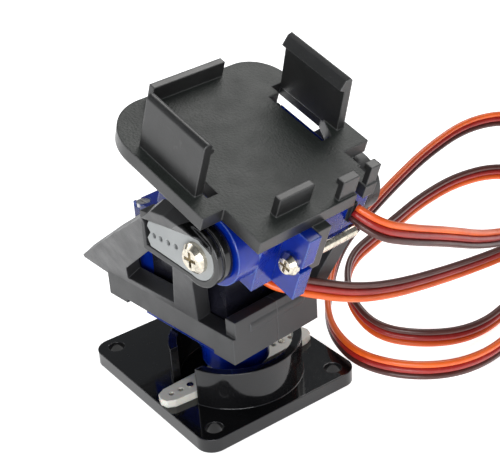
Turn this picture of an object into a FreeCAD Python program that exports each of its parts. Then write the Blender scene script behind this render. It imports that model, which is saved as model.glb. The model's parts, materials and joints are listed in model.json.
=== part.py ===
"""Pan and tilt camera mount: two micro servos in a nylon bracket on a round-collared base plate.

World frame in millimetres: +Z up, the base plate lies on Z = 0 and its centre is the origin.
Three local frames are used, each a Placement of the finished piece:
  pan frame    origin on the pan axis at Z = 0, turned by pan_angle about Z
  tilt frame   origin on the tilt axis, X along it, Y to the back, Z square to the platform
  servo frame  U along the servo from its shaft, V across it, S up from its bottom
"""
import FreeCAD, Part
import Sketcher
import math
import os
import re

from FreeCAD import Placement, Rotation, Vector

os.makedirs("parts", exist_ok=True)
doc = FreeCAD.newDocument("pan_tilt_camera_mount")

# ---------------------------------------------------------------- driving dimensions

SIZES = {
    # base plate
    "plate_x": 32.5, "plate_y": 37.5, "plate_thick": 2.58, "plate_corner": 3.0,
    "hole_x": 25.5, "hole_y": 31.5, "hole_r": 1.5,
    "collar_r": 11.67, "collar_wall": 1.5, "collar_top": 9.75,
    "collar_gap": 7.6, "screw_well_r": 2.6,
    # placing of the pan and tilt frames
    "pan_x": -0.14, "pan_y": -4.88, "pan_angle": 6.18,
    "axis_y": -13.79, "axis_z": 38.22, "tilt_angle": 20.8,
    # 9 g servo
    "tail_u": 16.9, "nose_u": 5.9, "half_v": 6.1, "cover_top": 4.2, "ear_low": 15.9, "ear_high": 18.4,
    "ear_u": 21.6, "ear_nose_u": 10.6, "ear_hole_u": 19.4, "ear_hole_nose_u": 8.4, "ear_hole_r": 1.05,
    "body_top": 22.7, "hump_top": 26.7, "hump_r": 5.9, "post_r": 2.9,
    "shaft_r": 2.4, "shaft_top": 28.9, "skin": 0.9, "web_low": 17.5,
    "idler_u": 5.9, "motor_u": 11.0, "pin_r": 0.5, "gear_bore": 0.55, "lead_s": 3.9, "lead_v": -1.5,
    "pan_servo_top": 32.8, "tilt_servo_bottom": 12.4, "label_low": 6.4, "label_high": 15.2,
    # bracket
    "ridge_left": -9.74, "ridge_right": 9.24, "ridge_z": 18.55, "wall_in": 6.6,
    "frame_front": -11.3, "frame_back": 22.3, "frame_low": 13.8, "side_low": 14.5,
    "lean_left": 20.0, "lean_right": 23.3, "arm_thick": 3.0, "front_wall_top": 21.5,
    "bracket_screw_z": 19.2, "front_screw_y": -9.6, "back_screw_y": 20.2, "bracket_screw_r": 0.85,
    "horn_face": -17.4, "boss_in": -14.65, "boss_r": 4.9, "disc_in": 13.9, "disc_out": 16.9, "disc_r": 5.15,
    "pivot_r": 2.0, "pivot_bore": 2.08,
    # horns
    "horn_hub_r": 3.75, "horn_arm_thick": 1.4, "horn_back": -14.6,
    # camera platform
    "deck_low": 6.2, "deck_top": 8.5, "deck_back": 25.2, "wing_left": -18.3, "wing_right": 16.2,
    "nose_left": -14.25, "nose_front": -8.4, "left_corner": 8.5, "right_corner": 6.2,
    "clip_top": 18.0, "right_clip_top": 19.0, "wall_top": 11.3, "stop_top": 11.8, "hook_top": 12.0,
    # servo leads
    "lead_r": 1.8,
}

sheet = doc.addObject("Spreadsheet::Sheet", "Sizes")
for row, (alias, value) in enumerate(SIZES.items(), start=1):
    sheet.set(f"A{row}", alias)
    sheet.set(f"B{row}", str(value))
    sheet.setAlias(f"B{row}", alias)
doc.recompute()

# ---------------------------------------------------------------- helpers


def formula(text):
    """An expression written with the sheet's names, ready for setExpression."""
    return re.sub(r"[a-z][a-z_]*", lambda m: "Sizes." + m[0] if m[0] in SIZES else m[0], str(text))


def bind(item, **properties):
    """Tie properties to formulas; a double underscore stands for a dot."""
    for name, text in properties.items():
        item.setExpression(name.replace("__", "."), formula(text))
    return item


def move(item, corner):
    """Tie the three coordinates of an object's place to formulas."""
    return bind(item, Placement__Base__x=corner[0], Placement__Base__y=corner[1], Placement__Base__z=corner[2])


def box(low, high):
    """A block between two corners."""
    item = doc.addObject("Part::Box", "block")
    spans = [f"({b}) - ({a})" for a, b in zip(low, high)]
    bind(item, Length=spans[0], Width=spans[1], Height=spans[2])
    return move(item, low)


TURNS = {
    "x": Rotation(Vector(0, 1, 0), 90),
    "y": Rotation(Vector(1, 0, 0), -90),
    "z": Rotation(),
}


def rod(radius, foot, length, along="z", top_radius=None):
    """A cylinder, or a cone when the far end has its own radius, starting at foot along an axis."""
    if top_radius is None:
        item = doc.addObject("Part::Cylinder", "rod")
        bind(item, Radius=radius, Height=length)
    else:
        item = doc.addObject("Part::Cone", "taper")
        bind(item, Radius1=radius, Radius2=top_radius, Height=length)
    item.Placement = Placement(Vector(), TURNS[along])
    return move(item, foot)


def value(text):
    """The present value of a formula."""
    return sheet.evalExpression(formula(text))


def draw(sketch, corners):
    """A closed outline with every corner tied to formulas."""
    points = [Vector(value(across), value(along), 0) for across, along in corners]
    count = len(points)
    sketch.addGeometry([Part.LineSegment(points[i], points[(i + 1) % count]) for i in range(count)], False)
    for i, (across, along) in enumerate(corners):
        sketch.addConstraint(Sketcher.Constraint("Coincident", i, 2, (i + 1) % count, 1))
        for kind, text, start in (("DistanceX", across, points[i].x), ("DistanceY", along, points[i].y)):
            number = sketch.addConstraint(Sketcher.Constraint(kind, -1, 1, i, 1, start))
            sketch.setExpression(f"Constraints[{number}]", formula(text))
    return sketch


def slab(corners, thickness, frame=Placement(), backwards=False):
    """An outline drawn in the XY plane of a frame and pushed out along its normal."""
    sketch = doc.addObject("Sketcher::SketchObject", "outline")
    draw(sketch, corners)
    sketch.Placement = frame
    item = doc.addObject("Part::Extrusion", "slab")
    item.Base = sketch
    item.DirMode = "Normal"
    item.Solid = True
    item.Reversed = backwards
    return bind(item, LengthFwd=thickness)


def fuse(*pieces):
    """One solid out of several."""
    if len(pieces) == 1:
        return pieces[0]
    item = doc.addObject("Part::MultiFuse", "joined")
    item.Shapes = list(pieces)
    return item


def cut(stock, *tools):
    """The stock with the tools taken away."""
    item = doc.addObject("Part::Cut", "cut")
    item.Base = stock
    item.Tool = fuse(*tools)
    return item


NODES = {}


def keep(label, item, frame=Placement()):
    """Name a finished piece and put its own frame in place."""
    item.Label = label
    item.Placement = frame
    NODES[label] = item
    return item


def group(*pieces):
    """Separate solids kept in one node."""
    item = doc.addObject("Part::Compound", "group")
    item.Links = list(pieces)
    return item


def shaped(shape):
    """A finished shape that has no parametric feature of its own."""
    item = doc.addObject("Part::Feature", "shape")
    item.Shape = shape
    return item


# ---------------------------------------------------------------- frames

WORLD = Placement()
PAN_AXIS = Placement(Vector(value("pan_x"), value("pan_y"), 0), Rotation())
PAN = PAN_AXIS * Placement(Vector(), Rotation(Vector(0, 0, 1), value("pan_angle")))
TILT_AXIS = PAN * Placement(Vector(0, value("axis_y"), value("axis_z")), Rotation())
TILT = TILT_AXIS * Placement(Vector(), Rotation(Vector(1, 0, 0), value("tilt_angle")))


def servo_frame(parent, origin, across, up):
    """U along the parent's Y, V across it and S along the servo's height."""
    return parent * Placement(origin, Rotation(Vector(0, 1, 0), across, up, "ZXY"))


PAN_SERVO = servo_frame(PAN, Vector(0, 0, value("pan_servo_top")), Vector(1, 0, 0), Vector(0, 0, -1))
TILT_SERVO = servo_frame(TILT, Vector(value("tilt_servo_bottom"), 0, 0), Vector(0, 0, -1), Vector(-1, 0, 0))

# The YZ plane of a frame at a given X, its normal along X.
SIDEWAYS = Rotation(Vector(0, 1, 0), Vector(0, 0, 1), Vector(1, 0, 0), "ZXY")
# The XZ plane of a frame at a given Y, its normal along -Y.
FRONTWAYS = Rotation(Vector(1, 0, 0), Vector(0, 0, 1), Vector(0, -1, 0), "ZXY")


def side_plane(across):
    """The upright plane square to X at a given X."""
    return Placement(Vector(value(across), 0, 0), SIDEWAYS)


# ---------------------------------------------------------------- micro servo

SCREW_PLACES = [(u, v) for u in (-4.7, 15.7) for v in (-4.9, 4.9)]


def columns(low, high):
    """Corner columns that the long case screws pass through."""
    return [rod(1.4, (u, v, low), f"{high} - {low}") for u, v in SCREW_PLACES]


def screw_holes(low, high):
    """Holes of the four long case screws."""
    return [rod(0.65, (u, v, low), f"{high} - {low}") for u, v in SCREW_PLACES]


def room(low, high, column_low, column_high):
    """The hollow of a case part, which leaves the corner columns standing."""
    inside = box(("skin - nose_u", "skin - half_v", low), ("tail_u - skin", "half_v - skin", high))
    return cut(inside, *columns(column_low, column_high))


def servo_case(name, frame):
    """Middle of the case with the two slotted mounting ears."""
    body = fuse(
        box(("-nose_u", "-half_v", "cover_top"), ("tail_u", "half_v", "ear_high")),
        box(("-ear_nose_u", "-half_v", "ear_low"), ("ear_u", "half_v", "ear_high")),
    )
    ear_slots = [
        rod("ear_hole_r", ("ear_hole_u", 0, "ear_low - 1"), 5),
        box(("ear_hole_u", -0.6, "ear_low - 1"), ("ear_u + 1", 0.6, "ear_high + 1")),
        rod("ear_hole_r", ("-ear_hole_nose_u", 0, "ear_low - 1"), 5),
        box(("-ear_nose_u - 1", -0.6, "ear_low - 1"), ("-ear_hole_nose_u", 0.6, "ear_high + 1")),
    ]
    shaft_holes = [
        rod(2.0, (0, 0, 16), 4),
        rod(1.4, ("motor_u", 0, 16), 4),
        rod("pin_r", ("idler_u", 0, 17.6), 2),
    ]
    hollow = room("cover_top - 1", "web_low", 3, 19)
    case = cut(body, hollow, *screw_holes(3, 20), *ear_slots, *shaft_holes)
    keep(name + "_servo_case", case, frame)


def servo_bottom_cover(name, frame):
    """Bottom cover with recessed screw heads and the notch for the lead."""
    block = box(("-nose_u", "-half_v", 0), ("tail_u", "half_v", "cover_top"))
    hollow = room("skin", "cover_top + 1", 0.5, 6)
    recesses = [rod(1.3, (u, v, -1), 1.9) for u, v in SCREW_PLACES]
    notch = box(("-nose_u - 1", "lead_v - 2", "lead_s - 0.8"), ("skin - nose_u + 1", "lead_v + 2", 6))
    cover = cut(block, hollow, notch, *recesses, *screw_holes(0, 5))
    keep(name + "_servo_bottom_cover", cover, frame)


def servo_top_cover(name, frame):
    """Gear cover with the round shaft housing and the small round beside it."""
    outside = fuse(
        box(("-nose_u", "-half_v", "ear_high"), ("tail_u", "half_v", "body_top")),
        rod("hump_r", (0, 0, "body_top - 1"), "hump_top - body_top + 1"),
        rod("post_r", ("idler_u", 0, "body_top - 1"), "hump_top - body_top + 1"),
    )
    inside = [
        room("ear_high - 1", "body_top - 0.8", "ear_high - 2", 23),
        rod("hump_r - 0.9", (0, 0, "body_top - 1"), "hump_top - body_top"),
        rod("post_r - 0.8", ("idler_u", 0, "body_top - 1"), 3.3),
        rod("pin_r", ("idler_u", 0, 24), 1.8),
        rod("shaft_r + 0.08", (0, 0, 25), 3),
    ]
    keep(name + "_servo_top_cover", cut(outside, *inside, *screw_holes(18, 21.5)), frame)


def servo_case_screws(name, frame):
    """Four long screws that hold the three case parts together."""
    screws = []
    for u, v in SCREW_PLACES:
        screw = fuse(rod(1.2, (u, v, 0.15), 0.75), rod(0.65, (u, v, 0.85), 20.6))
        screws.append(cut(screw, box((u - 0.9, v - 0.15, 0), (u + 0.9, v + 0.15, 0.5))))
    keep(name + "_servo_case_screws", group(*screws), frame)


def servo_lead_grip(name, frame):
    """Rubber grip around the lead where it leaves the bottom cover."""
    grip = cut(
        box(("-nose_u - 0.6", "lead_v - 2", "lead_s - 0.8"), ("skin - nose_u + 0.6", "lead_v + 2", "cover_top")),
        box(("-nose_u - 0.6 - 1", "lead_v - 2.5", "cover_top - 0.25"), ("-nose_u", "lead_v + 2.5", 6)),
    )
    keep(name + "_servo_lead_grip", grip, frame)


def servo_motor(name, frame):
    """Motor can with its bearing nose."""
    can = fuse(
        rod(4.3, ("motor_u", 0, 5.0), 11.0),
        rod(1.3, ("motor_u", 0, 15.9), 1.8),
        rod(1.6, ("motor_u", 0, 4.4), 0.7),
    )
    keep(name + "_servo_motor", cut(can, rod(0.45, ("motor_u", 0, 6), 14)), frame)


def servo_position_sensor(name, frame):
    """Potentiometer that the output shaft turns."""
    body = fuse(
        rod(4.2, (0, 0, 9.5), 5.6),
        rod(1.7, (0, 0, 15), 3.2),
        box((-2.6, -1.6, 8.6), (2.6, 1.6, 9.6)),
    )
    keep(name + "_servo_position_sensor", cut(body, rod(0.83, (0, 0, 11), 9)), frame)


def servo_circuit_board(name, frame):
    """Control board in the bottom cover, with its driver chip and three wire pads."""
    pieces = [
        box((-4.6, -3.3, 1.7), (15.8, 3.3, 2.6)),
        box((4.0, -2.0, 2.5), (8.0, 2.0, 3.5)),
    ]
    pieces += [rod(0.5, (-2.6, v, 2.5), 0.5) for v in (-2.4, -1.2, 0)]
    keep(name + "_servo_circuit_board", fuse(*pieces), frame)


def toothed(teeth, pitch_r, low, high, place=0):
    """A gear wheel whose tips stay just inside its pitch circle."""
    tip = pitch_r - 0.05
    root = tip - 0.3
    step = 2 * math.pi / teeth
    corners = []
    for tooth in range(teeth):
        for radius, share in ((root, 0.0), (root, 0.42), (tip, 0.56), (tip, 0.86)):
            angle = (tooth + share) * step
            corners.append(Vector(place + radius * math.cos(angle), radius * math.sin(angle), low))
    outline = Part.makePolygon(corners + corners[:1])
    return shaped(Part.Face(outline).extrude(Vector(0, 0, high - low)))


def servo_gears(name, frame):
    """Motor pinion, three double wheels and the output wheel with its splined shaft."""
    idler = value("idler_u")
    motor = value("motor_u")
    pinion = fuse(toothed(10, 1.0, 18.6, 19.6, motor), rod(0.4, ("motor_u", 0, 7), 12.7))
    keep(name + "_servo_motor_pinion", pinion, frame)
    first = fuse(toothed(41, 4.1, 18.7, 19.5, idler), toothed(15, 1.5, 19.4, 20.7, idler))
    keep(name + "_servo_gear_1", cut(first, rod("gear_bore", ("idler_u", 0, 18), 4)), frame)
    second = fuse(toothed(44, 4.4, 19.7, 20.45), toothed(14, 1.4, 20.4, 22.0))
    keep(name + "_servo_gear_2", cut(second, rod(0.83, (0, 0, 19), 4)), frame)
    third = fuse(toothed(45, 4.5, 20.95, 21.6, idler), toothed(16, 1.6, 21.5, 23.7, idler))
    keep(name + "_servo_gear_3", cut(third, rod("gear_bore", ("idler_u", 0, 20), 5)), frame)
    output = fuse(
        toothed(43, 4.3, 22.3, 23.7),
        rod("shaft_r", (0, 0, 23.6), "shaft_top - 23.6"),
        rod(0.75, (0, 0, 11.8), 10.6),
    )
    keep(name + "_servo_output_shaft", cut(output, rod(1.0, (0, 0, 24), 6)), frame)
    pin = fuse(rod("pin_r", ("idler_u", 0, 17.6), 7.0), rod("pin_r - 0.05", ("idler_u", 0, 24.5), 1.2))
    keep(name + "_servo_gear_pin", pin, frame)


def make_servo(name, frame):
    """Every piece of one servo."""
    for piece in (
        servo_case, servo_bottom_cover, servo_top_cover, servo_case_screws, servo_lead_grip,
        servo_motor, servo_position_sensor, servo_circuit_board, servo_gears,
    ):
        piece(name, frame)


# ---------------------------------------------------------------- base


def base_plate():
    """Plate with four corner holes, the round collar and the well under the pan horn."""
    body = doc.addObject("PartDesign::Body", "base_plate_body")

    def plane_sketch(height):
        """A sketch on the body's own XY plane, raised to a height."""
        sketch = body.newObject("Sketcher::SketchObject", "sketch")
        plane = [feature for feature in body.Origin.OriginFeatures if feature.Role == "XY_Plane"][0]
        sketch.AttachmentSupport = [(plane, "")]
        sketch.MapMode = "FlatFace"
        sketch.setExpression("AttachmentOffset.Base.z", formula(height))
        return sketch

    def circle(sketch, radius, across="0", along="0"):
        """A circle tied to the sheet by its centre and radius."""
        number = sketch.addGeometry(
            Part.Circle(Vector(value(across), value(along), 0), Vector(0, 0, 1), value(radius)), False)
        for kind, text in (("DistanceX", across), ("DistanceY", along)):
            tie = sketch.addConstraint(Sketcher.Constraint(kind, -1, 1, number, 3, value(text)))
            sketch.setExpression(f"Constraints[{tie}]", formula(text))
        tie = sketch.addConstraint(Sketcher.Constraint("Radius", number, value(radius)))
        sketch.setExpression(f"Constraints[{tie}]", formula(radius))

    def pad(sketch, length):
        """Material up from a sketch."""
        feature = body.newObject("PartDesign::Pad", "pad")
        feature.Profile = sketch
        feature.setExpression("Length", formula(length))
        doc.recompute()
        return feature

    def pocket(sketch, length):
        """A hole down from a sketch."""
        feature = body.newObject("PartDesign::Pocket", "pocket")
        feature.Profile = sketch
        feature.setExpression("Length", formula(length))
        doc.recompute()
        return feature

    outline = draw(plane_sketch("0"), [
        ("-plate_x / 2", "-plate_y / 2"), ("plate_x / 2", "-plate_y / 2"),
        ("plate_x / 2", "plate_y / 2"), ("-plate_x / 2", "plate_y / 2"),
    ])
    plate = pad(outline, "plate_thick")
    upright = [
        f"Edge{number}" for number, edge in enumerate(plate.Shape.Edges, start=1)
        if edge.BoundBox.ZLength > 1
    ]
    rounding = body.newObject("PartDesign::Fillet", "corners")
    rounding.Base = (plate, upright)
    rounding.setExpression("Radius", formula("plate_corner"))
    doc.recompute()

    ring = plane_sketch("plate_thick - 0.5")
    circle(ring, "collar_r", "pan_x", "pan_y")
    circle(ring, "collar_r - collar_wall", "pan_x", "pan_y")
    pad(ring, "collar_top - plate_thick + 0.5")

    gap = draw(plane_sketch("collar_top + 1"), [
        ("-collar_r - 2", "pan_y - collar_gap / 2"), ("collar_r + 2", "pan_y - collar_gap / 2"),
        ("collar_r + 2", "pan_y + collar_gap / 2"), ("-collar_r - 2", "pan_y + collar_gap / 2"),
    ])
    pocket(gap, "collar_top + 1 - plate_thick")

    holes = plane_sketch("plate_thick + 1")
    for across in ("-hole_x / 2", "hole_x / 2"):
        for along in ("-hole_y / 2", "hole_y / 2"):
            circle(holes, "hole_r", across, along)
    for across in ("pan_x - 10", "pan_x + 10"):
        circle(holes, "0.6", across, "pan_y")
    circle(holes, "screw_well_r", "pan_x", "pan_y")
    pocket(holes, "plate_thick + 2")

    sinks = plane_sketch("1.3")
    for across in ("pan_x - 10", "pan_x + 10"):
        circle(sinks, "1.3", across, "pan_y")
    last = pocket(sinks, "3")
    body.Tip = last
    keep("base_plate", body, WORLD)


def pan_horn():
    """Two-armed horn lying along X on the plate, splined to the pan servo's shaft."""
    arms = []
    for side in (1, -1):
        arms.append(slab([
            (0, 2.9), (0, -2.9), (14.2 * side, -2.0), (15.6 * side, -1.3),
            (16.0 * side, 0), (15.6 * side, 1.3), (14.2 * side, 2.0),
        ], "horn_arm_thick", Placement(Vector(0, 0, value("plate_thick")), Rotation())))
    horn = fuse(rod("horn_hub_r", (0, 0, "plate_thick"), 3.2), *arms)
    tools = [rod("shaft_r", (0, 0, "pan_servo_top - shaft_top"), 4), rod(1.05, (0, 0, 0), 6)]
    for reach in (6.2, 8.1, 11.9, 13.8):
        tools += [rod(0.45, (reach * side, 0, 0), 6) for side in (1, -1)]
    tools += [rod(0.6, (10 * side, 0, 0), 6) for side in (1, -1)]
    keep("pan_horn", cut(horn, *tools), PAN_AXIS)


def base_screws():
    """The screw into the pan shaft and the two that hold the horn to the plate."""
    centre = cut(
        fuse(rod(2.1, (0, 0, 1.2), "plate_thick - 1.2"), rod(1.0, (0, 0, "plate_thick"), 5.6)),
        box((-1.3, -0.25, 1), (1.3, 0.25, 1.9)),
        box((-0.25, -1.3, 1), (0.25, 1.3, 1.9)),
    )
    keep("pan_horn_centre_screw", centre, PAN_AXIS)
    small = []
    for side in (1, -1):
        screw = fuse(rod(1.2, (10 * side, 0, 0.5), 0.8), rod(0.6, (10 * side, 0, 1.2), 2.9))
        small.append(cut(screw, box((10 * side - 0.8, -0.15, 0), (10 * side + 0.8, 0.15, 0.9))))
    keep("pan_horn_plate_screws", group(*small), PAN_AXIS)


# ---------------------------------------------------------------- bracket


def leaning_plane(ridge, lean, side):
    """A plane up the flared arm: X along the bracket, Y up the slope, from the ridge."""
    angle = math.radians(value(lean))
    slope = Vector(side * math.sin(angle), 0, math.cos(angle))
    along = Vector(0, 1, 0)
    return Placement(
        Vector(value(ridge), 0, value("ridge_z")), Rotation(along, slope, along.cross(slope), "ZXY"))


def arm(ridge, lean, side, front):
    """Flared arm of one bracket half, with its sloping window; heights count from the ridge."""
    def on_slope(corners):
        """Corners given as place along the bracket and height above the ridge."""
        return [(y, f"({height}) / cos({lean})") for y, height in corners]

    outline = on_slope(front + [
        (22.2, -1.0), (29.3, 0), (29.3, 0.65), (13.2, 12.05), (-0.8, 21.55), (-5.6, 24.9),
        (-9.0, 25.3), (-12.5, 24.4), (-17.0, 22.4),
    ])
    window = on_slope([(2.6, 1.55), (15.4, 1.25), (13.9, 4.35), (1.0, 14.35), (-4.1, 13.7)])
    plane = leaning_plane(ridge, lean, side)
    outward = side > 0
    plate = slab(outline, "arm_thick", plane, backwards=outward)
    # The window's cutter is thicker than the arm and starts outside it.
    outside = plane * Placement(Vector(0, 0, side * 2), Rotation())
    return plate, slab(window, "arm_thick + 4", outside, backwards=outward)


def frame_half(side, ridge):
    """Half of the frame around the pan servo's ears, from the seam outwards."""
    def block(low, high):
        """A block given from the seam outwards, on this half's side."""
        (x0, y0, z0), (x1, y1, z1) = low, high
        if side < 0:
            x0, x1 = f"-({x1})", f"-({x0})"
        return box((x0, y0, z0), (x1, y1, z1))

    out = f"({side}) * {ridge}"
    solid = [
        block(("wall_in", "frame_front", "side_low"), (out, "frame_back", "ridge_z")),
        block((0, "frame_front", "frame_low"), (out, "-nose_u - 0.3", 18.0)),
        block((0, "frame_front", 17.9), (f"{out} - 0.6", -9.0, "front_wall_top")),
        block((0, "tail_u + 0.3", "frame_low"), (out, "frame_back", 18.0)),
        block((0, 18.5, 17.9), (f"{out} - 0.6", "frame_back", "front_wall_top")),
    ]
    for y in ("front_screw_y", "back_screw_y"):
        solid.append(rod(1.9, (0 if side > 0 else -6, y, "bracket_screw_z"), 6, "x"))
    pockets = [
        block((-1, "-ear_nose_u - 0.05", 14.35), (6.15, -5, 16.95)),
        block((-1, 16, 14.35), (6.15, "ear_u + 0.05", 16.95)),
    ]
    return solid, pockets


def bracket_left():
    """Left half: frame, windowed arm, and the boss that takes the tilt horn."""
    solid, tools = frame_half(-1, "ridge_left")
    front = [(-17.8, 19.0), (-13.0, 15.0), (-7.35, 11.05), (-2.2, -1.0)]
    plate, window = arm("ridge_left", "lean_left", -1, front)
    depth = "boss_in - horn_face"
    boss = rod("boss_r", ("horn_face", "axis_y", "axis_z"), depth, "x")
    tail = slab([
        ("axis_y", "axis_z - 4.6"), ("axis_y + 12.9", "axis_z - 3.3"),
        ("axis_y + 12.9", "axis_z + 3.3"), ("axis_y", "axis_z + 4.6"),
    ], depth, side_plane("horn_face"))
    tools += [
        window,
        # horn recess, opened outwards through the flared plate
        rod("horn_hub_r + 0.1", ("horn_face - 4", "axis_y", "axis_z"), 12, "x"),
        slab([
            ("axis_y", "axis_z - 3.8"), ("axis_y + 12.2", "axis_z - 2.4"),
            ("axis_y + 12.2", "axis_z + 2.4"), ("axis_y", "axis_z + 3.8"),
        ], "4 + horn_arm_thick + 0.02", side_plane("horn_face - 4")),
        # the servo's housing turns here
        cut(rod(9.2, ("boss_in", "axis_y", "axis_z"), 8, "x"), box((-20, -40, 20), (0, 10, "axis_z - 2.4"))),
        rod(6.3, ("boss_in", "axis_y", "axis_z"), 8, "x"),
        # pilot holes of the two bracket screws
        *[rod("bracket_screw_r", (-6.6, y, "bracket_screw_z"), 8, "x") for y in ("front_screw_y", "back_screw_y")],
    ]
    groove = cut(
        rod("boss_r + 1", ("horn_face + 0.9", "axis_y", "axis_z"), 0.5, "x"),
        rod("boss_r - 0.35", ("horn_face", "axis_y", "axis_z"), 3, "x"),
        box((-20, "axis_y", 20), (0, 20, 60)),
    )
    keep("bracket_left", cut(fuse(*solid, plate, boss, tail), *tools, groove), PAN)


def bracket_right():
    """Right half: frame, windowed arm, and the round bearing for the pivot."""
    solid, tools = frame_half(1, "ridge_right")
    front = [(-18.2, 18.6), ("frame_front", -1.0)]
    plate, window = arm("ridge_right", "lean_right", 1, front)
    disc = rod("disc_r", ("disc_in", "axis_y", "axis_z"), "disc_out - disc_in", "x")
    tools += [
        window,
        # room for the tilt servo's bottom and for the swinging pivot lug
        box((0, -30, 31.6), ("tilt_servo_bottom + 0.4", 40, 60)),
        rod(8.9, (0, "axis_y", "axis_z"), "tilt_servo_bottom + 0.4", "x"),
        cut(rod(8.8, (5, "axis_y", "axis_z"), "disc_in - 5", "x"), box((4, -40, 20), (20, 10, "axis_z - 4.6"))),
        # flat outer face around the bearing
        box(("disc_out", -30, 35.0), (30, -8.0, 60)),
        rod("pivot_bore", (8, "axis_y", "axis_z"), 12, "x"),
    ]
    for y in ("front_screw_y", "back_screw_y"):
        tools.append(rod("bracket_screw_r + 0.1", (-1, y, "bracket_screw_z"), 12, "x"))
        tools.append(rod(1.7, (7.6, y, "bracket_screw_z"), 6, "x"))
    keep("bracket_right", cut(fuse(*solid, plate, disc), *tools), PAN)


def bracket_screws():
    """Two self-tapping screws that draw the bracket halves together."""
    screws = []
    for y in ("front_screw_y", "back_screw_y"):
        screw = fuse(
            rod("bracket_screw_r", (-6.4, y, "bracket_screw_z"), 14.1, "x"),
            rod(1.5, (7.6, y, "bracket_screw_z"), 1.1, "x"),
        )
        slots = [
            box((8.2, f"{y} - 1.0", "bracket_screw_z - 0.2"), (9, f"{y} + 1.0", "bracket_screw_z + 0.2")),
            box((8.2, f"{y} - 0.2", "bracket_screw_z - 1.0"), (9, f"{y} + 0.2", "bracket_screw_z + 1.0")),
        ]
        screws.append(cut(screw, *slots))
    keep("bracket_screws", group(*screws), PAN)


def tilt_horn():
    """One-armed horn in the left boss, with its tip cut short."""
    hub = rod("horn_hub_r", ("horn_face", "axis_y", "axis_z"), "horn_back - horn_face", "x")
    blade = slab([
        ("axis_y", "axis_z - 3.65"), ("axis_y + 11.0", "axis_z - 2.2"), ("axis_y + 11.6", "axis_z - 0.9"),
        ("axis_y + 10.7", "axis_z + 0.3"), ("axis_y + 11.4", "axis_z + 1.2"), ("axis_y + 10.9", "axis_z + 2.2"),
        ("axis_y", "axis_z + 3.65"),
    ], "horn_arm_thick", side_plane("horn_face"))
    tools = [
        rod("shaft_r", ("tilt_servo_bottom - shaft_top", "axis_y", "axis_z"), 4, "x"),
        rod(1.05, (-20, "axis_y", "axis_z"), 10, "x"),
    ]
    tools += [rod(0.45, (-20, f"axis_y + {reach}", "axis_z"), 6, "x") for reach in (4.7, 6.5, 8.3, 9.9)]
    keep("tilt_horn", cut(fuse(hub, blade), *tools), PAN)


def tilt_horn_screw():
    """Pan-head screw through the tilt horn into the servo's shaft."""
    head = fuse(
        rod(2.45, ("horn_face - 0.6", "axis_y", "axis_z"), 0.6, "x"),
        rod(1.7, ("horn_face - 1.3", "axis_y", "axis_z"), 0.7, "x", top_radius=2.45),
        rod(1.0, ("horn_face", "axis_y", "axis_z"), 5.2, "x"),
    )
    tools = [
        box(("horn_face - 2", "axis_y - 1.3", "axis_z - 0.3"), ("horn_face - 0.4", "axis_y + 1.3", "axis_z + 0.3")),
        box(("horn_face - 2", "axis_y - 0.3", "axis_z - 1.3"), ("horn_face - 0.4", "axis_y + 0.3", "axis_z + 1.3")),
    ]
    keep("tilt_horn_screw", cut(head, *tools), PAN)


# ---------------------------------------------------------------- camera platform


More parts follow.
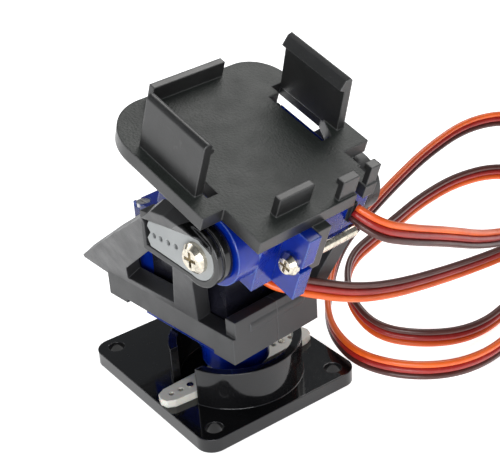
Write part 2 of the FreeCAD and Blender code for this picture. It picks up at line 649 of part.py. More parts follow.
def camera_platform():
    """Moulded platform: deck, clips, stops, hooks, servo tabs and the pivot pin, in one piece."""
    deck = slab([
        ("nose_left", "nose_front"), (5.4, "nose_front"), (5.4, -4.6), (7.8, -4.6), (7.8, -8.0),
        (10.2, -8.0), (10.2, -3.9), (10.7, -3.9), (10.7, -0.3), ("wing_right", -0.3),
        ("wing_right", "deck_back - right_corner"), ("wing_right - 1.8", "deck_back - 1.8"),
        ("wing_right - right_corner", "deck_back"), ("wing_left + left_corner", "deck_back"),
        ("wing_left + 2.5", "deck_back - 2.5"), ("wing_left", "deck_back - left_corner"),
        ("wing_left", -0.44), ("nose_left", -0.44),
    ], "deck_top - deck_low", Placement(Vector(0, 0, value("deck_low")), Rotation()))
    rounds = [
        rod("right_corner", ("wing_right - right_corner", "deck_back - right_corner", "deck_low"),
            "deck_top - deck_low"),
        rod("left_corner", ("wing_left + left_corner", "deck_back - left_corner", "deck_low"),
            "deck_top - deck_low"),
    ]
    through = "deck_top - deck_low + 2"
    below = Placement(Vector(0, 0, value("deck_low - 1")), Rotation())
    slots = [
        box((-14.9, 2.5, 5), (-12.9, 16.5, 12)),
        slab([(9.35, 3.3), (11.5, 3.4), (13.9, 8.0), (13.9, 17.6), (11.6, 17.6), (11.6, 15.7), (9.35, 15.7)], through, below),
    ]
    left_clip = [
        box((-16.4, 3.6, "deck_top - 0.5"), (-14.9, 16.5, "clip_top - 0.75")),
        rod(0.75, (-15.65, 3.6, "clip_top - 0.75"), 12.9, "y"),
        rod(0.5, (-14.9, 3.6, "clip_top - 1.6"), 12.9, "y"),
    ]
    right_clip = slab([
        (13.45, 8.0), (15.0, 8.0), (13.5, 18.4), (12.9, "right_clip_top"),
        (12.1, 18.7), (11.3, 17.0), (12.3, 16.6),
    ], 13.3, Placement(Vector(0, 17.3, 0), FRONTWAYS))
    stops = [
        box((-8.4, 23.6, "deck_top - 0.5"), (6.1, 24.8, "wall_top")),
        box((-8.9, -5.7, "deck_top - 0.5"), (-2.0, -4.5, "stop_top")),
        box((1.8, -8.0, "deck_top - 0.5"), (5.2, -7.0, "hook_top")),
        box((1.8, -7.1, "hook_top - 1.0"), (5.2, -6.5, "hook_top")),
        box((8.0, -7.8, "deck_top - 0.5"), (10.0, -6.8, "hook_top")),
        box((8.0, -6.9, "hook_top - 1.0"), (10.0, -6.3, "hook_top")),
    ]
    tabs = [
        box((-3.5, "-ear_nose_u + 0.8", -2.0), (-0.8, -7.0, "deck_low + 0.1")),
        box((-3.5, -8.4, "deck_low"), (-0.8, -7.0, "deck_top")),
        box((-3.5, 17.6, -2.8), (-0.8, 21.5, "deck_low + 0.1")),
    ]
    tab_holes = [
        rod(1.0, (-5, "-ear_hole_nose_u", 0), 6, "x"),
        rod(1.0, (-5, "ear_hole_u", 0), 6, "x"),
    ]
    lug = slab([(-3.2, 0), (3.2, 0), (5.4, 6.3), (-0.2, 6.3)], 1.0, side_plane("12.6"))
    pivot = [lug, rod(3.3, (12.6, 0, 0), 1.0, "x"), rod("pivot_r", (13.5, 0, 0), 3.6, "x")]
    slotted_deck = cut(fuse(deck, *rounds), *slots)
    keep("camera_platform", cut(
        fuse(slotted_deck, *left_clip, right_clip, *stops, *tabs, *pivot), *tab_holes), TILT)


def ear_screws():
    """Two long screws through the tilt servo's ears and the platform's tabs."""
    screws = []
    for y in ("-ear_hole_nose_u", "ear_hole_u"):
        screw = fuse(
            rod(1.0, (-6.0, y, 0), 13.5, "x"),
            rod(1.9, (-6.5, y, 0), 0.5, "x"),
            rod(1.3, (-7.4, y, 0), 0.9, "x", top_radius=1.9),
        )
        slots = [
            box((-8, f"{y} - 1.1", -0.25), (-6.6, f"{y} + 1.1", 0.25)),
            box((-8, f"{y} - 0.25", -1.1), (-6.6, f"{y} + 0.25", 1.1)),
        ]
        screws.append(cut(screw, *slots))
    keep("tilt_servo_ear_screws", group(*screws), TILT)


def servo_labels():
    """Plain stickers: round the nose of the pan servo, and under the tilt servo."""
    wrap = fuse(
        box(("-nose_u - 0.12", "-half_v - 0.12", "label_low"), ("-nose_u", "half_v", "label_high")),
        box(("-nose_u - 0.12", "-half_v - 0.12", "label_low"), (13.0, "-half_v", "label_high")),
    )
    keep("pan_servo_label", wrap, PAN_SERVO)
    under = cut(
        box((-4.5, "half_v", "label_low"), (15.5, "half_v + 0.12", "label_high")),
        box((14.9, "half_v - 1", 14.6), (17, "half_v + 1", 17)),
    )
    keep("tilt_servo_label", under, TILT_SERVO)


# ---------------------------------------------------------------- servo leads

# Hand-chosen route points in the pan frame, from the grip on each servo to its connector.
TILT_LEAD = [
    (9.2, -20.95, 37.0), (10.2, -24.2, 35.0), (17.8, -24.4, 31.0), (29.5, -22.6, 25.2), (44, -20, 17.4),
    (60, -17.0, 11.4), (75, -14.4, 8.6), (89, -11.2, 7.4), (101.4, -5.0, 7.4), (107.8, 5.5, 9.4),
    (103, 16.6, 12.6), (91, 20.4, 13.6), (77.5, 20.8, 11.4), (63.5, 18.0, 10.0), (50.5, 13.8, 9.8),
    (41, 10.6, 9.6), (33.8, 7.4, 8.6), (27.2, 3.2, 6.6), (21.0, -1.8, 5.3), (16.2, -8.4, 5.2),
    (13.9, -16.4, 5.1), (16.6, -24.2, 5.0), (24.0, -28.8, 3.6), (34, -29.6, 1.85), (44, -28.4, 1.85),
    (53, -30.4, 1.85),
]
PAN_LEAD = [
    (-1.45, -7.8, 27.8), (-1.3, -9.6, 25.6), (4.4, -14.6, 23.4), (13.5, -15.4, 18.4), (24.5, -14.4, 13.6),
    (40, -12.6, 8.6), (57, -11.6, 4.6), (74, -12.2, 2.8), (88.5, -12, 2.3), (96.4, -5.4, 2.1),
    (96.6, 4.0, 3.0), (89.4, 10.4, 5.6), (77, 12.2, 7.2), (63.5, 11.2, 7.6), (51, 7.8, 8.4),
    (41, 5.0, 9.4), (33.6, 3.0, 9.8), (27.4, -0.8, 9.4), (23.0, -6.4, 7.6), (21.8, -13.6, 5.6),
    (26.6, -20.0, 4.6), (35.5, -23.2, 2.6), (46, -23.2, 1.85), (57, -20.6, 1.85),
]
ARC_SHARE = 0.45


def lead(name, route):
    """Round tube that stands for one flat lead: straight runs joined by tangent arcs."""
    points = [Vector(*point) for point in route]
    tube_r = value("lead_r")
    edges = []
    radii = []
    start = points[0]
    for before, corner, after in zip(points, points[1:], points[2:]):
        arrive = (corner - before).normalize()
        leave = (after - corner).normalize()
        half_turn = arrive.getAngle(leave) / 2
        set_back = ARC_SHARE * min((corner - before).Length, (after - corner).Length)
        radius = set_back / math.tan(half_turn)
        inwards = (leave - arrive).normalize()
        enter = corner - arrive * set_back
        middle = corner + inwards * (radius / math.cos(half_turn) - radius)
        depart = corner + leave * set_back
        edges.append(Part.LineSegment(start, enter).toShape())
        edges.append(Part.Arc(enter, middle, depart).toShape())
        radii.append(radius)
        start = depart
    edges.append(Part.LineSegment(start, points[-1]).toShape())
    path = Part.Wire(edges)
    section = Part.Wire(Part.makeCircle(tube_r, points[0], points[1] - points[0]))
    tube = path.makePipeShell([section], True, False)
    expected = path.Length * math.pi * tube_r ** 2
    print(f"{name} length {path.Length:.1f} tightest radius {min(radii):.1f}"
          f" volume {tube.Volume:.0f} of {expected:.0f}")
    keep(name, shaped(tube), PAN)


def plug(name, route):
    """Three-way connector housing at the far end of a lead, open at its mating face."""
    end = Vector(*route[-1])
    heading = end - Vector(*route[-2])
    turn = math.degrees(math.atan2(heading.y, heading.x))
    housing = box((0, -3.9, -1.8), (14.0, 3.9, 0.9))
    sockets = [box((8.0, y - 0.75, -1.2), (15, y + 0.75, 0.3)) for y in (-2.54, 0, 2.54)]
    latches = [box((3.0, y - 0.6, 0.5), (6.4, y + 0.6, 2)) for y in (-2.54, 0, 2.54)]
    spot = Placement(end, Rotation(Vector(0, 0, 1), turn))
    keep(name, cut(housing, *sockets, *latches), PAN * spot)


def main():
    """Builds every piece, checks it and writes its STEP file."""
    base_plate()
    pan_horn()
    base_screws()
    bracket_left()
    bracket_right()
    bracket_screws()
    tilt_horn()
    tilt_horn_screw()
    camera_platform()
    ear_screws()
    servo_labels()
    make_servo("pan", PAN_SERVO)
    make_servo("tilt", TILT_SERVO)
    for name, route in (("tilt_servo_lead", TILT_LEAD), ("pan_servo_lead", PAN_LEAD)):
        lead(name, route)
        plug(name + "_plug", route)
    doc.recompute()
    for label, item in NODES.items():
        trouble = [state for state in item.State if state in ("Invalid", "Error")]
        if trouble or item.Shape.isNull() or not item.Shape.isValid():
            raise RuntimeError(f"{label} is not a sound shape: {trouble}")
        item.Shape.exportStep(f"parts/{label}.step")
        low = item.Shape.BoundBox
        print(f"{label:32s} solids {len(item.Shape.Solids)} volume {item.Shape.Volume:9.2f}"
              f"  x {low.XMin:7.2f} {low.XMax:7.2f}  y {low.YMin:7.2f} {low.YMax:7.2f}"
              f"  z {low.ZMin:7.2f} {low.ZMax:7.2f}")


main()
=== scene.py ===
"""Pan and tilt camera mount: materials, servo leads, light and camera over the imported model."""

import json
import math

import bpy
from mathutils import Matrix, Vector


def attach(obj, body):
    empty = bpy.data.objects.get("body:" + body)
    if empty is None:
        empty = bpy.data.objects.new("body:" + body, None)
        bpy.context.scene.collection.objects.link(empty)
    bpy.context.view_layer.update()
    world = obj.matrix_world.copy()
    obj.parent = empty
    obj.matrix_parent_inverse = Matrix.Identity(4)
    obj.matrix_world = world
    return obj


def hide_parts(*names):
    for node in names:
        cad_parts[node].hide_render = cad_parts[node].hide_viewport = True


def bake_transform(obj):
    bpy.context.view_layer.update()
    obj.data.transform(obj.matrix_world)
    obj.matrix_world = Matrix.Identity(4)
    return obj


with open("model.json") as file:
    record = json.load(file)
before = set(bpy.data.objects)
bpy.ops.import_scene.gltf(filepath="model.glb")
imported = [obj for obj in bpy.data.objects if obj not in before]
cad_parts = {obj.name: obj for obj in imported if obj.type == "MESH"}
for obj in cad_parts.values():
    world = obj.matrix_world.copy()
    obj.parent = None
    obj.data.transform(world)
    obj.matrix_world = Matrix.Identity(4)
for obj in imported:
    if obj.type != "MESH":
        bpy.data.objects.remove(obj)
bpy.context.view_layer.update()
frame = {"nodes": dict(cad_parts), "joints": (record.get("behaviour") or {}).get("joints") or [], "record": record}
NODES = frame["nodes"]
JOINTS = {joint["name"]: joint for joint in frame["joints"]}

# ---------------------------------------------------------------- frames

# The pan frame turns with the head and the tilt frame with the platform. At rest the head
# is panned and the platform is tilted by these angles.
PAN_TURN = math.radians(6.18)
TILT_TURN = math.radians(20.8)
PAN = Matrix.Translation(Vector(JOINTS["pan"]["pos_m"])) @ Matrix.Rotation(PAN_TURN, 4, "Z")
TILT = (Matrix.Translation(Vector(JOINTS["tilt"]["pos_m"])) @ Matrix.Rotation(PAN_TURN, 4, "Z")
        @ Matrix.Rotation(TILT_TURN, 4, "X"))

# A point on the tilt axis, in the pan frame.
HORN_AXIS = PAN.inverted() @ Vector(JOINTS["tilt"]["pos_m"])


def pan_point(point):
    """A point of the pan frame, given in millimetres, in the row frame in metres."""
    return PAN @ (Vector(point) / 1000)


# ---------------------------------------------------------------- material helpers


class Finish:
    """One node material in object coordinates, in metres, or in those of a given frame."""

    def __init__(self, name, frame_matrix=None):
        self.material = bpy.data.materials.new(name)
        self.material.use_nodes = True
        self.nodes = self.material.node_tree.nodes
        self.links = self.material.node_tree.links
        self.bsdf = self.nodes["Principled BSDF"]
        self.place = self.nodes.new("ShaderNodeTexCoord").outputs["Object"]
        if frame_matrix is not None:
            back = frame_matrix.inverted()
            mapping = self.nodes.new("ShaderNodeMapping")
            mapping.inputs["Location"].default_value = back.to_translation()
            mapping.inputs["Rotation"].default_value = back.to_euler("XYZ")
            self.links.new(self.place, mapping.inputs["Vector"])
            self.place = mapping.outputs["Vector"]

    def link(self, source, target):
        """Join two sockets."""
        self.links.new(source, target)

    def noise(self, size, detail=4.0, roughness=0.55, stretch=None):
        """Noise whose features are about size metres across."""
        node = self.nodes.new("ShaderNodeTexNoise")
        node.inputs["Scale"].default_value = 1 / size
        node.inputs["Detail"].default_value = detail
        node.inputs["Roughness"].default_value = roughness
        place = self.place
        if stretch is not None:
            scaling = self.nodes.new("ShaderNodeMapping")
            scaling.inputs["Scale"].default_value = stretch
            self.link(place, scaling.inputs["Vector"])
            place = scaling.outputs["Vector"]
        self.link(place, node.inputs["Vector"])
        return node.outputs["Fac"]

    def grains(self, size):
        """Distance to the nearest grain of a given size."""
        node = self.nodes.new("ShaderNodeTexVoronoi")
        node.inputs["Scale"].default_value = 1 / size
        self.link(self.place, node.inputs["Vector"])
        return node.outputs["Distance"]

    def ramp(self, factor, *stops):
        """A colour ramp of (place, colour) stops; a plain number makes a grey."""
        node = self.nodes.new("ShaderNodeValToRGB")
        elements = node.color_ramp.elements
        while len(elements) < len(stops):
            elements.new(0.5)
        for element, (place, colour) in zip(elements, stops):
            element.position = place
            grey = isinstance(colour, (int, float))
            element.color = (colour, colour, colour, 1) if grey else (*colour, 1)
        self.link(factor, node.inputs["Fac"])
        return node.outputs["Color"]

    def mix(self, factor, first, second):
        """Colour between two sockets or colours."""
        node = self.nodes.new("ShaderNodeMix")
        node.data_type = "RGBA"
        if isinstance(factor, (int, float)):
            node.inputs[0].default_value = factor
        else:
            self.link(factor, node.inputs[0])
        for socket, item in ((node.inputs[6], first), (node.inputs[7], second)):
            if isinstance(item, tuple):
                socket.default_value = (*item, 1)
            else:
                self.link(item, socket)
        return node.outputs[2]

    def maths(self, operation, first, second, clamp=False):
        """One operation on two sockets or numbers."""
        node = self.nodes.new("ShaderNodeMath")
        node.operation = operation
        node.use_clamp = clamp
        for socket, item in zip(node.inputs, (first, second)):
            if isinstance(item, (int, float)):
                socket.default_value = item
            else:
                self.link(item, socket)
        return node.outputs[0]

    def axis(self, letter):
        """One coordinate of the place, in metres."""
        node = self.nodes.new("ShaderNodeSeparateXYZ")
        self.link(self.place, node.inputs[0])
        return node.outputs[letter]

    def from_line(self, letter, through):
        """Distance from a line along one axis through a point."""
        squares = []
        for other, at in zip("XYZ", through):
            if other != letter:
                offset = self.maths("SUBTRACT", self.axis(other), at)
                squares.append(self.maths("MULTIPLY", offset, offset))
        return self.maths("POWER", self.maths("ADD", *squares), 0.5)

    def facing(self, direction):
        """Cosine between the surface and a direction at rest, which moves with the piece."""
        dot = self.nodes.new("ShaderNodeVectorMath")
        dot.operation = "DOT_PRODUCT"
        self.link(self.nodes.new("ShaderNodeTexCoord").outputs["Normal"], dot.inputs[0])
        dot.inputs[1].default_value = direction
        return dot.outputs["Value"]

    def soft_edges(self, radius):
        """Normal rounded at the edges, and a mask that is 1 on them."""
        bevel = self.nodes.new("ShaderNodeBevel")
        bevel.samples = 6
        bevel.inputs["Radius"].default_value = radius
        geometry = self.nodes.new("ShaderNodeNewGeometry")
        dot = self.nodes.new("ShaderNodeVectorMath")
        dot.operation = "DOT_PRODUCT"
        self.link(bevel.outputs["Normal"], dot.inputs[0])
        self.link(geometry.outputs["Normal"], dot.inputs[1])
        edge = self.maths("SUBTRACT", 1.0, dot.outputs["Value"], clamp=True)
        mask = self.ramp(edge, (0.0, 0.0), (0.25, 1.0))
        return bevel.outputs["Normal"], mask

    def bump(self, height, depth, strength=1.0, normal=None):
        """Surface relief of a depth in metres."""
        node = self.nodes.new("ShaderNodeBump")
        node.inputs["Distance"].default_value = depth
        node.inputs["Strength"].default_value = strength
        self.link(height, node.inputs["Height"])
        if normal is not None:
            self.link(normal, node.inputs["Normal"])
        return node.outputs["Normal"]

    def between(self, factor, low, high):
        """Two colours or two numbers, with the change in the middle of the factor's range."""
        return self.ramp(factor, (0.3, low), (0.7, high))

    def overlay(self, base, mask, amount, colour):
        """A base colour with an amount of another mixed in where a mask is 1."""
        return self.mix(self.maths("MULTIPLY", mask, amount), base, colour)

    def feed(self, name, socket):
        """Drive one of the shader's own sockets."""
        self.link(socket, self.bsdf.inputs[name])

    def wear(self, coarse, rough_low, rough_high):
        """Roughness that varies with handling, from one number to the other."""
        self.feed("Roughness", self.between(coarse, rough_low, rough_high))

    def set(self, **values):
        """Uniform values on the shader's own sockets."""
        for name, value in values.items():
            self.bsdf.inputs[name.replace("_", " ")].default_value = value
        return self


def moulded(name, dark, light, rough, grain_size, grain_depth, edge_colour, edge_radius=0.00035):
    """Opaque moulded plastic with a fine skin, slow colour drift and edges lightened in patches, partly as painted
    highlight and partly as wear.
    """
    finish = Finish(name)
    normal, edges = finish.soft_edges(edge_radius)
    base = finish.between(finish.noise(0.006, 5), dark, light)
    handled = finish.ramp(finish.noise(0.0015, 3), (0.35, 0.15), (0.65, 0.8))
    # Painted highlight mixed with wear: the edges are lightened in patches toward the edge colour.
    scuffed_and_highlit_edges = finish.maths("MULTIPLY", edges, handled)
    finish.feed("Base Color", finish.mix(scuffed_and_highlit_edges, base, edge_colour))
    finish.wear(finish.noise(0.003, 4), *rough)
    finish.feed("Normal", finish.bump(finish.noise(grain_size, 3), grain_depth, normal=normal))
    return finish


# ---------------------------------------------------------------- materials

# The raised rim around the tilt horn, painted darker as shade, in the pan frame: it stands further out along X
# than RIM_FACE and lies within RIM_RADIUS of the tilt axis. In metres.
RIM_FACE = -0.01455
RIM_RADIUS = 0.0054

# In the tilt frame, what is higher than DECK_HEIGHT, in metres, stands on the deck.
DECK_HEIGHT = 0.00854
# A surface faces up when its normal's share along the deck's own is above this.
FACES_UP = 0.8


def gloss_black():
    """Polished black moulding with hairline scratches and dust, and a painted highlight along its edges."""
    finish = Finish("gloss_black")
    normal, edges = finish.soft_edges(0.0003)
    dust = finish.ramp(finish.grains(0.0011), (0.0, 0.05), (0.06, 0.0))
    black = finish.between(finish.noise(0.008, 4), (0.0035, 0.0035, 0.004), (0.007, 0.007, 0.0075))
    # Painted highlight: the edges are lightened toward grey.
    black_with_painted_highlight = finish.overlay(black, edges, 0.35, (0.10, 0.10, 0.11))
    finish.feed("Base Color", finish.mix(dust, black_with_painted_highlight, (0.5, 0.5, 0.5)))
    scratches = finish.noise(0.0012, 2, stretch=(1, 14, 1))
    finish.feed("Roughness", finish.ramp(scratches, (0.35, 0.06), (0.62, 0.13), (0.75, 0.3)))
    finish.feed("Normal", finish.bump(finish.noise(0.004, 3), 0.00001, normal=normal))
    return finish.set(Specular_IOR_Level=0.55).material


def nylon():
    """Satin dark nylon of the bracket with a painted highlight along its edges; polished on the raised rim around
    the horn and painted near black there as shade.
    """
    finish = Finish("nylon", PAN)
    normal, edges = finish.soft_edges(0.00035)
    satin = finish.between(finish.noise(0.006, 5), (0.017, 0.017, 0.018), (0.024, 0.024, 0.025))
    beyond = finish.maths("LESS_THAN", finish.axis("X"), RIM_FACE)
    close = finish.maths("LESS_THAN", finish.from_line("X", HORN_AXIS), RIM_RADIUS)
    rim = finish.maths("MULTIPLY", beyond, close)
    # Painted shade: the rim around the horn is coloured near black, on the same nylon.
    base = finish.mix(rim, satin, (0.002, 0.002, 0.002))
    # Painted highlight: the edges are lightened toward grey.
    finish.feed("Base Color", finish.overlay(base, edges, 0.6, (0.10, 0.10, 0.105)))
    worn = finish.between(finish.noise(0.003, 4), 0.36, 0.5)
    finish.feed("Roughness", finish.mix(rim, worn, (0.12, 0.12, 0.12)))
    grain = finish.maths("MULTIPLY", finish.noise(0.00028, 3), finish.maths("SUBTRACT", 1.0, rim))
    finish.feed("Normal", finish.bump(grain, 0.00002, normal=normal))
    return finish.set(Specular_IOR_Level=0.6).material


def platform_nylon():
    """Rough deck with scratches, painted lighter and greener as light from above; what stands on it and what
    doesn't face up is smoother and painted darker as shade.
    """
    finish = Finish("platform_nylon", TILT)
    normal, edges = finish.soft_edges(0.00035)
    off_deck = finish.maths("GREATER_THAN", finish.axis("Z"), DECK_HEIGHT)
    deck_normal = TILT.to_3x3() @ Vector((0, 0, 1))
    sideways = finish.maths("LESS_THAN", finish.facing(deck_normal), FACES_UP)
    smooth = finish.maths("ADD", off_deck, sideways, clamp=True)
    drift = finish.noise(0.007, 5)
    # Painted light: the up-facing deck is coloured lighter and greener, and the rest darker as shade.
    deck = finish.between(drift, (0.015, 0.018, 0.016), (0.023, 0.028, 0.024))
    shaded_smooth_colour = finish.between(drift, (0.012, 0.012, 0.012), (0.018, 0.018, 0.018))
    base = finish.mix(smooth, deck, shaded_smooth_colour)
    specks = finish.ramp(finish.grains(0.00035), (0.0, 0.35), (0.35, 0.0))
    base = finish.overlay(base, specks, 0.12, (0.25, 0.27, 0.25))
    scratches = finish.ramp(finish.noise(0.0016, 2, stretch=(9, 1, 1)), (0.66, 0.0), (0.7, 0.35))
    base = finish.overlay(base, scratches, 0.25, (0.14, 0.14, 0.14))
    # Painted highlight: the edges are lightened toward grey.
    finish.feed("Base Color", finish.overlay(base, edges, 0.55, (0.12, 0.12, 0.12)))
    rough_deck = finish.between(finish.noise(0.004, 4), 0.48, 0.56)
    rough_shiny = finish.between(finish.noise(0.003, 4), 0.3, 0.38)
    finish.feed("Roughness", finish.mix(smooth, rough_deck, rough_shiny))
    pits = finish.maths("ADD", finish.noise(0.00032, 3, 0.7), finish.grains(0.00042))
    kept = finish.maths("SUBTRACT", 1.0, finish.maths("MULTIPLY", smooth, 0.9))
    finish.feed("Normal", finish.bump(finish.maths("MULTIPLY", pits, kept), 0.00005, normal=normal))
    return finish.set(Specular_IOR_Level=0.6).material


def blue_plastic():
    """Translucent blue of the servo cases, with a pale highlight painted at the edges where the light comes out.
    """
    finish = Finish("blue_plastic")
    normal, edges = finish.soft_edges(0.0004)
    base = finish.between(finish.noise(0.005, 4), (0.001, 0.018, 0.30), (0.002, 0.040, 0.50))
    # Painted highlight: pale blue along the edges.
    finish.feed("Base Color", finish.overlay(base, edges, 0.7, (0.26, 0.42, 0.98)))
    finish.wear(finish.noise(0.002, 3), 0.12, 0.24)
    finish.feed("Normal", finish.bump(finish.noise(0.0008, 3), 0.000015, normal=normal))
    finish.set(Transmission_Weight=0.5, IOR=1.46, Subsurface_Weight=0.15, Subsurface_Scale=0.002)
    return finish.material


def white_plastic():
    """Cream acetal of the horns, a little grey from handling."""
    finish = moulded("white_plastic", (0.62, 0.60, 0.54), (0.74, 0.72, 0.66), rough=(0.3, 0.45),
                     grain_size=0.0006, grain_depth=0.00001, edge_colour=(0.85, 0.84, 0.8))
    return finish.set(Subsurface_Weight=0.1, Subsurface_Scale=0.001).material


def horn_in_painted_shade():
    """White horn plastic painted dark grey as shade, since the tilt horn sits deep in its recess."""
    return moulded("horn_in_painted_shade", (0.24, 0.25, 0.25), (0.31, 0.32, 0.32), rough=(0.35, 0.5),
                   grain_size=0.0006, grain_depth=0.00001, edge_colour=(0.3, 0.32, 0.32)).material


def gear_plastic():
    """Cream plastic of the gear wheels."""
    return moulded("gear_plastic", (0.68, 0.66, 0.58), (0.8, 0.78, 0.7), rough=(0.3, 0.42),
                   grain_size=0.0005, grain_depth=0.00001, edge_colour=(0.9, 0.88, 0.82),
                   edge_radius=0.0001).material


def sensor_body():
    """Dark case of the position sensor."""
    return moulded("sensor_body", (0.02, 0.02, 0.022), (0.035, 0.035, 0.04), rough=(0.4, 0.55),
                   grain_size=0.0004, grain_depth=0.00002, edge_colour=(0.08, 0.08, 0.08),
                   edge_radius=0.0002).material


def grip_rubber():
    """Matt black rubber of the grips that the leads leave from."""
    return moulded("grip_rubber", (0.008, 0.008, 0.008), (0.014, 0.014, 0.014), rough=(0.5, 0.7),
                   grain_size=0.0003, grain_depth=0.00003, edge_colour=(0.04, 0.04, 0.04),
                   edge_radius=0.0002).material


def connector():
    """Black plastic of the leads' connectors."""
    return moulded("connector", (0.008, 0.008, 0.009), (0.013, 0.013, 0.014), rough=(0.3, 0.45),
                   grain_size=0.0003, grain_depth=0.00002, edge_colour=(0.06, 0.06, 0.06),
                   edge_radius=0.0003).material


def metal(name, colour, darker, rough, streak):
    """Plated or drawn metal with fine marks and a painted glint along its edges."""
    finish = Finish(name)
    normal, edges = finish.soft_edges(0.00012)
    base = finish.ramp(finish.noise(0.0006, 4, stretch=streak), (0.3, darker), (0.65, colour))
    # Painted glint: the edges are lightened toward near white.
    finish.feed("Base Color", finish.overlay(base, edges, 0.6, (0.95, 0.93, 0.88)))
    finish.wear(finish.noise(0.0008, 3), *rough)
    finish.feed("Normal", finish.bump(finish.noise(0.0003, 3), 0.000008, normal=normal))
    return finish.set(Metallic=1.0).material


def circuit_board():
    """Green solder mask with copper runs under it."""
    finish = Finish("circuit_board")
    runs = finish.ramp(finish.noise(0.0012, 1, stretch=(1, 6, 1)), (0.48, 0.0), (0.52, 1.0))
    finish.feed("Base Color", finish.mix(runs, (0.01, 0.12, 0.05), (0.02, 0.2, 0.08)))
    finish.wear(finish.noise(0.002, 3), 0.2, 0.35)
    finish.feed("Normal", finish.bump(runs, 0.00003))
    return finish.material


def label_film():
    """Dark film with a faint sheen and no marks."""
    finish = Finish("label")
    base = finish.between(finish.noise(0.004, 4), (0.006, 0.006, 0.010), (0.014, 0.014, 0.022))
    finish.feed("Base Color", base)
    finish.wear(finish.noise(0.003, 3), 0.16, 0.3)
    finish.feed("Normal", finish.bump(finish.noise(0.0025, 3), 0.00003))
    return finish.material


def wire(name, dark, light, pale):
    """Soft insulation of one wire, paler where it has been handled."""
    finish = Finish(name)
    base = finish.between(finish.noise(0.009, 5), dark, light)
    dusty = finish.ramp(finish.noise(0.0012, 4), (0.55, 0.0), (0.75, 0.14))
    finish.feed("Base Color", finish.mix(dusty, base, pale))
    finish.wear(finish.noise(0.004, 4), 0.28, 0.42)
    finish.feed("Normal", finish.bump(finish.noise(0.0005, 3), 0.00002))
    return finish.set(Coat_Weight=0.15, Subsurface_Weight=0.08, Subsurface_Scale=0.0006).material


# The leads' own slot is not here, because the ribbons below stand for them.
SLOT_MATERIALS = {
    "gloss_black": gloss_black(),
    "nylon": nylon(),
    "platform_nylon": platform_nylon(),
    "blue_plastic": blue_plastic(),
    "white_plastic": white_plastic(),
    "nickel_screw": metal("nickel_screw", colour=(0.80, 0.74, 0.62), darker=(0.42, 0.38, 0.31),
                          rough=(0.14, 0.28), streak=(1, 1, 1)),
    "steel": metal("steel", colour=(0.56, 0.56, 0.58), darker=(0.36, 0.36, 0.38),
                   rough=(0.25, 0.4), streak=(1, 5, 1)),
    "motor_can": metal("motor_can", colour=(0.52, 0.53, 0.55), darker=(0.34, 0.35, 0.37),
                       rough=(0.22, 0.36), streak=(1, 1, 6)),
    "gear_plastic": gear_plastic(),
    "sensor_body": sensor_body(),
    "circuit_board": circuit_board(),
    "label": label_film(),
    "grip_rubber": grip_rubber(),
    "connector": connector(),
}
WIRES = [
    wire("wire_orange", (0.66, 0.085, 0.008), (0.84, 0.14, 0.014), (0.92, 0.34, 0.14)),
    wire("wire_red", (0.26, 0.010, 0.008), (0.38, 0.018, 0.013), (0.60, 0.14, 0.10)),
    wire("wire_brown", (0.055, 0.013, 0.010), (0.085, 0.022, 0.016), (0.26, 0.12, 0.09)),
]


def paint(node, material):
    """Give a carried-over node one material."""
    mesh = NODES[node].data
    mesh.materials.clear()
    mesh.materials.append(material)


for part in frame["record"]["subparts"]:
    if part["material_slot"] in SLOT_MATERIALS:
        paint(part["node"], SLOT_MATERIALS[part["material_slot"]])
# The tilt horn is white plastic; its grey is painted shade from its recess.
paint("tilt_horn", horn_in_painted_shade())

# ---------------------------------------------------------------- servo leads

WIRE_R = 0.0006
WIRE_SIDES = 12

# Route points in the pan frame, in millimetres, from each servo's grip to its connector.
TILT_LEAD = [
    (9.0, -20.4, 37.3), (10.2, -24.2, 35.0), (17.8, -24.4, 31.0), (29.5, -22.6, 25.2), (44, -20, 17.4),
    (60, -17.0, 11.4), (75, -14.4, 8.6), (89, -11.2, 7.4), (101.4, -5.0, 7.4), (107.8, 5.5, 9.4),
    (103, 16.6, 12.6), (91, 20.4, 13.6), (77.5, 20.8, 11.4), (63.5, 18.0, 10.0), (50.5, 13.8, 9.8),
    (41, 10.6, 9.6), (33.8, 7.4, 8.6), (27.2, 3.2, 6.6), (21.0, -1.8, 5.3), (16.2, -8.4, 5.2),
    (13.9, -16.4, 5.1), (16.6, -24.2, 5.0), (24.0, -28.8, 3.6), (34, -29.6, 1.85), (44, -28.4, 1.85),
    (53, -30.4, 1.85),
]
PAN_LEAD = [
    (-1.5, -6.5, 29.4), (-1.3, -9.6, 25.6), (4.4, -14.6, 23.4), (13.5, -15.4, 18.4), (24.5, -14.4, 13.6),
    (40, -12.6, 8.6), (57, -11.6, 4.6), (74, -12.2, 2.8), (88.5, -12, 2.3), (96.4, -5.4, 2.1),
    (96.6, 4.0, 3.0), (89.4, 10.4, 5.6), (77, 12.2, 7.2), (63.5, 11.2, 7.6), (51, 7.8, 8.4),
    (41, 5.0, 9.4), (33.6, 3.0, 9.8), (27.4, -0.8, 9.4), (23.0, -6.4, 7.6), (21.8, -13.6, 5.6),
    (26.6, -20.0, 4.6), (35.5, -23.2, 2.6), (46, -23.2, 1.85), (57, -20.6, 1.85),
]


def centre_line(name, route):
    """The smooth line of a lead, as points of a spline with the route's points as control points."""
    curve = bpy.data.curves.new(name + "_line", "CURVE")
    curve.dimensions = "3D"
    curve.resolution_u = 14
    spline = curve.splines.new("NURBS")
    spline.points.add(len(route) - 1)
    for point, place in zip(spline.points, route):
        point.co = (*pan_point(place), 1)
    spline.order_u = 3
    spline.use_endpoint_u = True
    holder = bpy.data.objects.new(name + "_line", curve)
    bpy.context.scene.collection.objects.link(holder)
    bpy.context.view_layer.update()
    mesh = bpy.data.meshes.new_from_object(holder.evaluated_get(bpy.context.evaluated_depsgraph_get()))
    line = [vertex.co.copy() for vertex in mesh.vertices]
    bpy.data.objects.remove(holder)
    return line


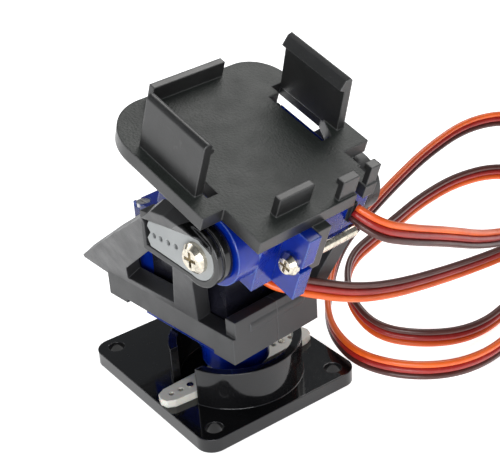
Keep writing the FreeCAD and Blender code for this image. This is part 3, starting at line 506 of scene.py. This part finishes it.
def ribbon(name, line, order):
    """Three wires along a line, closed at both ends, with order giving their colours from the top."""
    widths = []
    tangents = []
    up = Vector((0, 0, 1))
    for i in range(len(line)):
        along = (line[min(i + 1, len(line) - 1)] - line[max(i - 1, 0)]).normalized()
        tangents.append(along)
        widths.append((up - along * up.dot(along)).normalized())
    verts = []
    faces = []
    marks = []
    for offset, colour in zip((1, 0, -1), order):
        first = len(verts)
        for here, along, width in zip(line, tangents, widths):
            side = along.cross(width)
            centre = here + width * (offset * 2 * WIRE_R)
            for k in range(WIRE_SIDES):
                angle = 2 * math.pi * k / WIRE_SIDES
                verts.append(centre + (width * math.cos(angle) + side * math.sin(angle)) * WIRE_R)
        for ring in range(len(line) - 1):
            for k in range(WIRE_SIDES):
                a = first + ring * WIRE_SIDES + k
                b = first + ring * WIRE_SIDES + (k + 1) % WIRE_SIDES
                faces.append((a, b, b + WIRE_SIDES, a + WIRE_SIDES))
                marks.append(colour)
        last = first + (len(line) - 1) * WIRE_SIDES
        faces.append(tuple(range(first + WIRE_SIDES - 1, first - 1, -1)))
        faces.append(tuple(range(last, last + WIRE_SIDES)))
        marks += [colour, colour]
    mesh = bpy.data.meshes.new(name)
    mesh.from_pydata(verts, [], faces)
    for finish in WIRES:
        mesh.materials.append(finish)
    for face, colour in zip(mesh.polygons, marks):
        face.material_index = colour
        face.use_smooth = len(face.vertices) == 4
    mesh.validate()
    piece = bpy.data.objects.new(name, mesh)
    bpy.context.scene.collection.objects.link(piece)
    return piece


def servo_lead(name, route, order):
    """One flat lead that stands for its CAD tube, with its connector on its end."""
    line = centre_line(name, route)
    piece = ribbon(name + "_ribbon", line, order)
    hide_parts(name)
    return piece


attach(servo_lead("pan_servo_lead", PAN_LEAD, (2, 1, 0)), "pan_head")
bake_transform(servo_lead("tilt_servo_lead", TILT_LEAD, (0, 1, 2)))

# ---------------------------------------------------------------- floor, light and camera

# The camera looks at this point, in metres, from the front left and from above.
LOOK_AT = Vector((0.008453, 0.000649, 0.025))
AZIMUTH = math.radians(-34.683)
ELEVATION = math.radians(28.396)
ROLL = math.radians(-3.99)
DISTANCE = 0.200153
LENS = 82.35
SENSOR = 36

FLOOR_HALF = 4.0
FLOOR_DROP = 0.00002


def studio_floor():
    """Plain pale sheet just under the object."""
    mesh = bpy.data.meshes.new("floor")
    signs = ((-1, -1), (1, -1), (1, 1), (-1, 1))
    corners = [(x * FLOOR_HALF, y * FLOOR_HALF, -FLOOR_DROP) for x, y in signs]
    mesh.from_pydata(corners, [], [(0, 1, 2, 3)])
    finish = Finish("floor")
    finish.feed("Base Color", finish.between(finish.noise(0.05, 3), 0.93, 0.96))
    finish.set(Roughness=0.9, Specular_IOR_Level=0.0, Emission_Color=(1, 1, 1, 1), Emission_Strength=0.8)
    mesh.materials.append(finish.material)
    floor = bpy.data.objects.new("floor", mesh)
    bpy.context.scene.collection.objects.link(floor)


def softbox(name, direction, distance, size, power, tint=(1, 1, 1)):
    """Square lamp that faces the object."""
    lamp = bpy.data.lights.new(name, "AREA")
    lamp.shape = "RECTANGLE"
    lamp.size, lamp.size_y = size
    lamp.energy = power
    lamp.color = tint
    holder = bpy.data.objects.new(name, lamp)
    toward = Vector(direction).normalized()
    holder.location = LOOK_AT + toward * distance
    holder.rotation_euler = (-toward).to_track_quat("-Z", "Y").to_euler()
    bpy.context.scene.collection.objects.link(holder)


def studio_camera():
    """Camera at the viewing angle, slightly rolled."""
    back = Vector((math.sin(AZIMUTH) * math.cos(ELEVATION), -math.cos(AZIMUTH) * math.cos(ELEVATION),
                   math.sin(ELEVATION)))
    right = (-back).cross(Vector((0, 0, 1))).normalized()
    up = right.cross(-back)
    rolled_right = right * math.cos(ROLL) + up * math.sin(ROLL)
    rolled_up = up * math.cos(ROLL) - right * math.sin(ROLL)
    lens = bpy.data.cameras.new("camera")
    lens.sensor_width = SENSOR
    lens.lens = LENS
    lens.clip_start = 0.01
    lens.clip_end = 20
    camera = bpy.data.objects.new("camera", lens)
    place = Matrix((rolled_right, rolled_up, back)).transposed().to_4x4()
    place.translation = LOOK_AT + back * DISTANCE
    camera.matrix_world = place
    bpy.context.scene.collection.objects.link(camera)
    bpy.context.scene.camera = camera


studio_floor()
softbox("key", (0.55, 0.24, 0.80), 0.5, (0.34, 0.30), 1.15, (1.0, 0.99, 0.97))
softbox("fill", (-0.62, -0.78, 0.14), 0.55, (0.50, 0.30), 3.1, (0.98, 0.99, 1.0))
softbox("rim", (-0.55, 0.75, 0.55), 0.55, (0.25, 0.25), 0.5)
studio_camera()

world = bpy.data.worlds.new("studio")
world.use_nodes = True
background = world.node_tree.nodes["Background"]
background.inputs["Color"].default_value = (0.9, 0.95, 1.0, 1)
background.inputs["Strength"].default_value = 0.22
bpy.context.scene.world = world
bpy.context.scene.view_settings.view_transform = "Standard"
